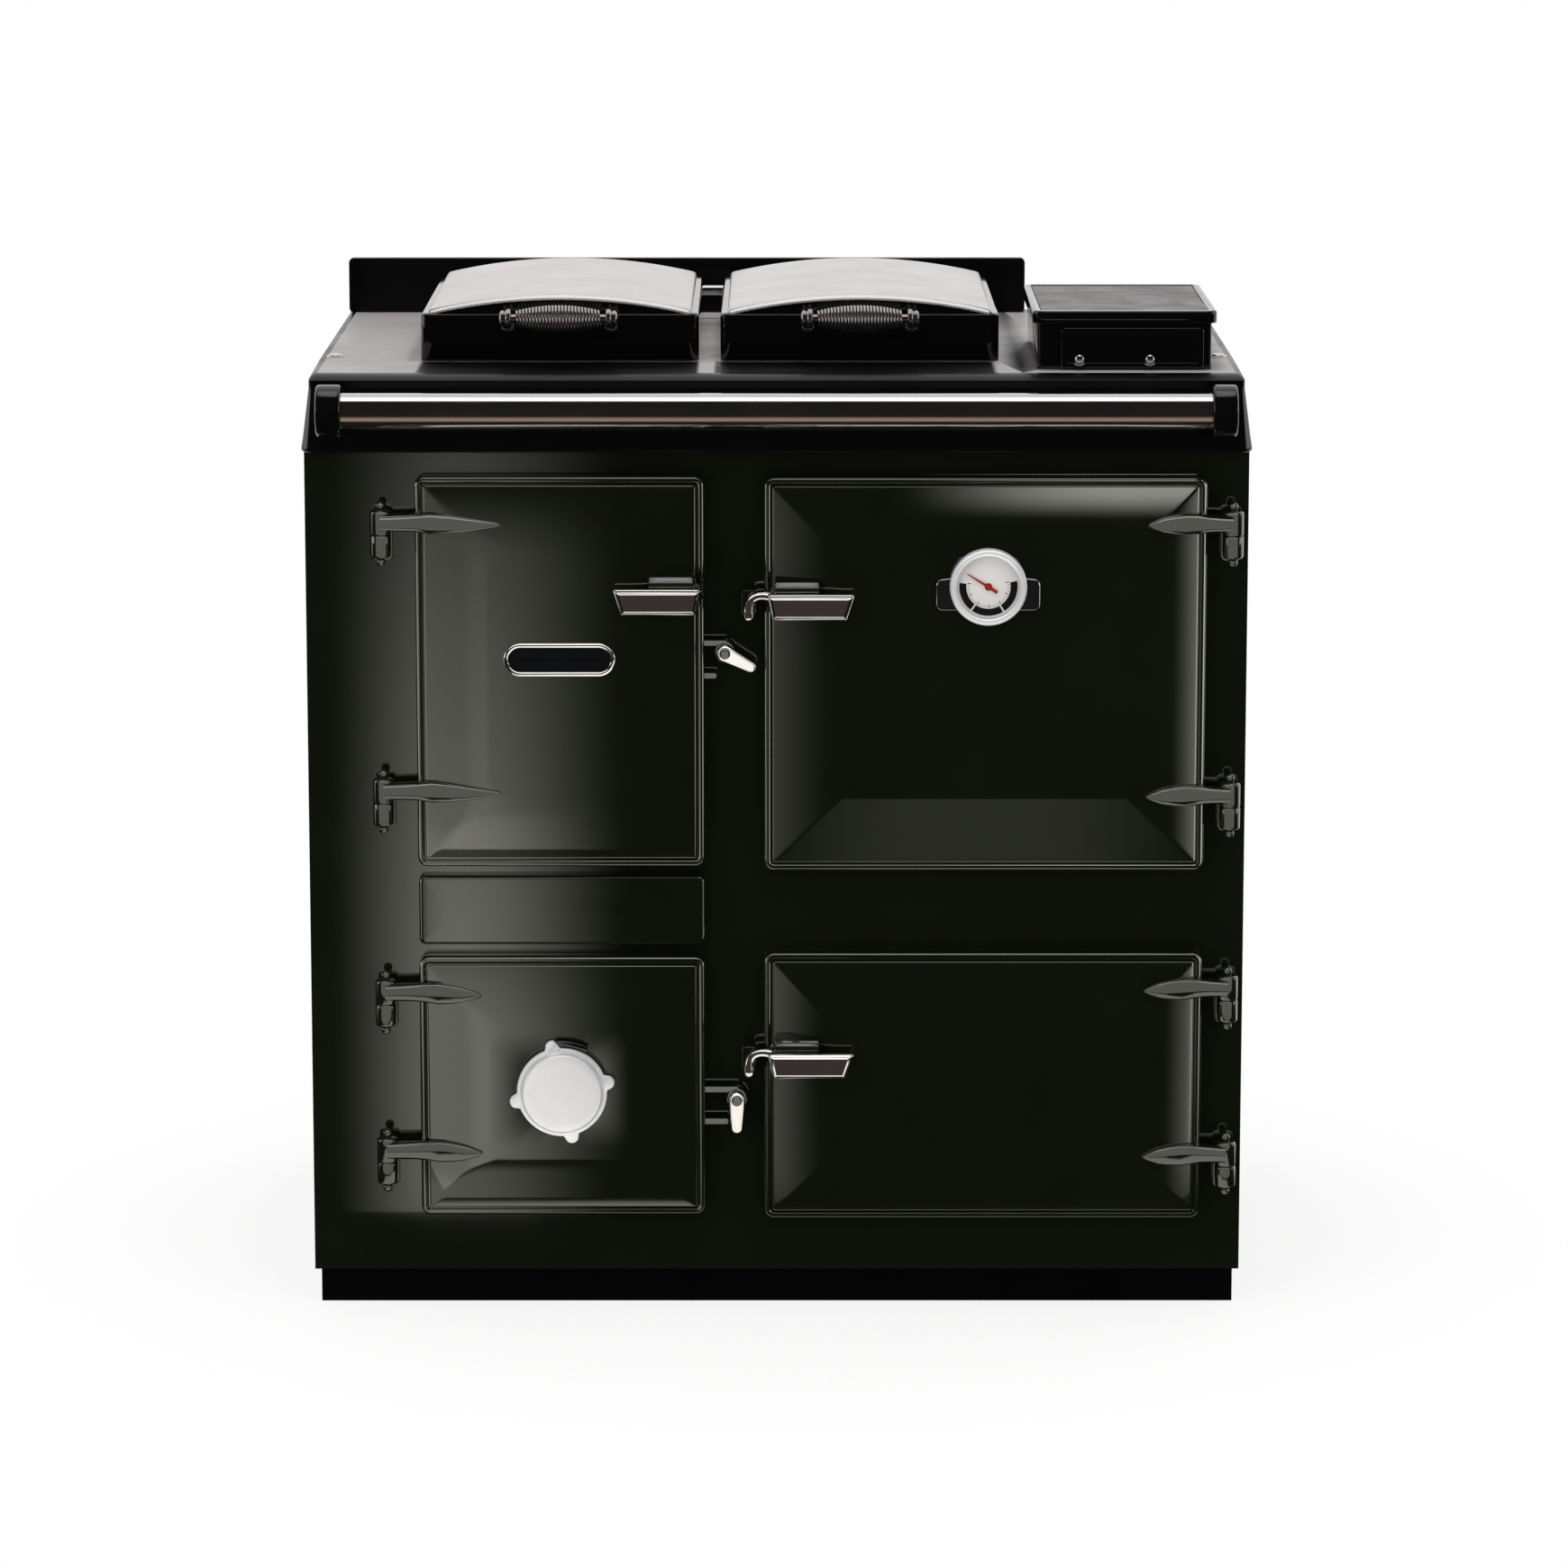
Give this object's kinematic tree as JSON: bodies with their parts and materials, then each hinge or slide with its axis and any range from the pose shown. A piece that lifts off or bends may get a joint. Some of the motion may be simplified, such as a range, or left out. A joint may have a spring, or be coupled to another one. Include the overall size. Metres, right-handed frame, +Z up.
{
  "type": "range cooker",
  "caption": "Cast iron solid-fuel range cooker with lidded hotplate, firebox, ash pit and hinged oven doors under a towel rail.",
  "frame": {"origin": "on the floor, under the middle of the object's box, which is also the middle of the body", "axes": "+X to the right seen from the front, +Y to the back, +Z up; the doors face -Y"},
  "size_m": [0.914, 0.8, 0.9855],
  "materials": {
    "green_enamel": "gloss vitreous enamel",
    "black_enamel": "gloss vitreous enamel",
    "sheet_steel": "dull sheet",
    "cast_iron": "as cast",
    "polished_steel": "polished",
    "chrome": "polished plate",
    "firebrick": "rough fired clay",
    "rope": "woven glass rope",
    "dial_enamel": "satin white with black marks",
    "red_paint": "painted",
    "glass": "clear"
  },
  "bodies": {
    "root": {"plinth": "black_enamel", "front_plate": "green_enamel", "side_panels": "green_enamel", "back_panel": "sheet_steel", "top_plate": "black_enamel", "hob_surround": "black_enamel", "towel_rail": "chrome", "rail_brackets": "black_enamel", "hotplate": "cast_iron", "splashback": "black_enamel", "flue_box": "black_enamel", "flue_cover": "polished_steel", "flue_door": "black_enamel", "fixing_screws": "chrome", "flue_spigot": "sheet_steel", "firebox": "cast_iron", "firebricks": "firebrick", "grate": "cast_iron", "ash_pan": "sheet_steel", "main_oven": "cast_iron", "oven_shelves": "chrome", "lower_oven": "cast_iron", "middle_panel": "green_enamel", "hinge_lugs": "green_enamel", "door_catches": "green_enamel", "lid_hinges": "chrome", "door_ropes": "rope"},
    "fire_door": {"fire_door": "green_enamel", "fire_door_straps": "green_enamel", "fire_door_liner": "cast_iron", "name_plate": "chrome"},
    "fire_door_handle": {"fire_door_handle": "chrome"},
    "fire_door_latch": {"fire_door_latch": "chrome"},
    "ash_door": {"ash_door": "green_enamel", "ash_door_straps": "green_enamel", "ash_door_liner": "cast_iron", "spinwheel_spindle": "cast_iron"},
    "ash_door_latch": {"ash_door_latch": "chrome"},
    "spinwheel_washer": {"spinwheel_washer": "chrome"},
    "spinwheel": {"spinwheel": "chrome"},
    "main_oven_door": {"main_oven_door": "green_enamel", "main_oven_straps": "green_enamel", "main_oven_liner": "cast_iron", "thermometer_case": "chrome", "thermometer_dial": "dial_enamel", "thermometer_glass": "glass"},
    "thermometer_needle": {"thermometer_needle": "red_paint"},
    "main_oven_handle": {"main_oven_handle": "chrome"},
    "lower_oven_door": {"lower_oven_door": "green_enamel", "lower_oven_straps": "green_enamel", "lower_oven_liner": "cast_iron"},
    "lower_oven_handle": {"lower_oven_handle": "chrome"},
    "left_lid": {"left_lid_shell": "black_enamel", "left_lid_cover": "polished_steel", "left_lid_liner": "polished_steel", "left_lid_handle": "chrome"},
    "right_lid": {"right_lid_shell": "black_enamel", "right_lid_cover": "polished_steel", "right_lid_liner": "polished_steel", "right_lid_handle": "chrome"}
  },
  "joints": [
    {"name": "fire_door_swing", "type": "hinge", "parent": "root", "child": "fire_door", "pos_m": [-0.381, -0.32, 0.6], "axis": [0, 0, -1], "range_deg": [0, 150]},
    {"name": "ash_door_swing", "type": "hinge", "parent": "root", "child": "ash_door", "pos_m": [-0.381, -0.32, 0.22], "axis": [0, 0, -1], "range_deg": [0, 150]},
    {"name": "main_oven_door_swing", "type": "hinge", "parent": "root", "child": "main_oven_door", "pos_m": [0.439, -0.32, 0.6], "axis": [0, 0, 1], "range_deg": [0, 150]},
    {"name": "lower_oven_door_swing", "type": "hinge", "parent": "root", "child": "lower_oven_door", "pos_m": [0.439, -0.32, 0.22], "axis": [0, 0, 1], "range_deg": [0, 150]},
    {"name": "left_lid_lift", "type": "hinge", "parent": "root", "child": "left_lid", "pos_m": [-0.212, 0.2, 0.95], "axis": [-1, 0, 0], "range_deg": [0, 85]},
    {"name": "right_lid_lift", "type": "hinge", "parent": "root", "child": "right_lid", "pos_m": [0.081, 0.2, 0.95], "axis": [-1, 0, 0], "range_deg": [0, 85]},
    {"name": "fire_door_handle_lift", "type": "hinge", "parent": "fire_door", "child": "fire_door_handle", "pos_m": [-0.085, -0.351, 0.707], "axis": [0, 1, 0], "range_deg": [0, 25]},
    {"name": "main_oven_handle_lift", "type": "hinge", "parent": "main_oven_door", "child": "main_oven_handle", "pos_m": [0.003, -0.351, 0.702], "axis": [0, -1, 0], "range_deg": [0, 25]},
    {"name": "lower_oven_handle_lift", "type": "hinge", "parent": "lower_oven_door", "child": "lower_oven_handle", "pos_m": [0.003, -0.351, 0.252], "axis": [0, -1, 0], "range_deg": [0, 25]},
    {"name": "fire_door_latch_turn", "type": "hinge", "parent": "fire_door", "child": "fire_door_latch", "pos_m": [-0.05, -0.322, 0.652], "axis": [0, 1, 0], "range_deg": [0, 62]},
    {"name": "ash_door_latch_turn", "type": "hinge", "parent": "ash_door", "child": "ash_door_latch", "pos_m": [-0.039, -0.322, 0.21], "axis": [0, 1, 0], "range_deg": [0, 60]},
    {"name": "spinwheel_slide", "type": "slide", "parent": "ash_door", "child": "spinwheel_washer", "axis": [0, -1, 0], "range_m": [0, 0.0061]},
    {"name": "spinwheel_turn", "type": "hinge", "parent": "spinwheel_washer", "child": "spinwheel", "pos_m": [-0.209, -0.337, 0.223], "axis": [0, -1, 0], "range_deg": [0, 1080]},
    {"name": "thermometer_needle_turn", "type": "hinge", "parent": "main_oven_door", "child": "thermometer_needle", "pos_m": [0.203, -0.348, 0.72], "axis": [0, -1, 0], "range_deg": [0, 236], "stiffness_Nm_per_rad": 0.002}
  ],
  "couplings": [
    {"joint": "spinwheel_slide", "follows": "spinwheel_turn", "m_per_rad": 0.00031831}
  ]
}
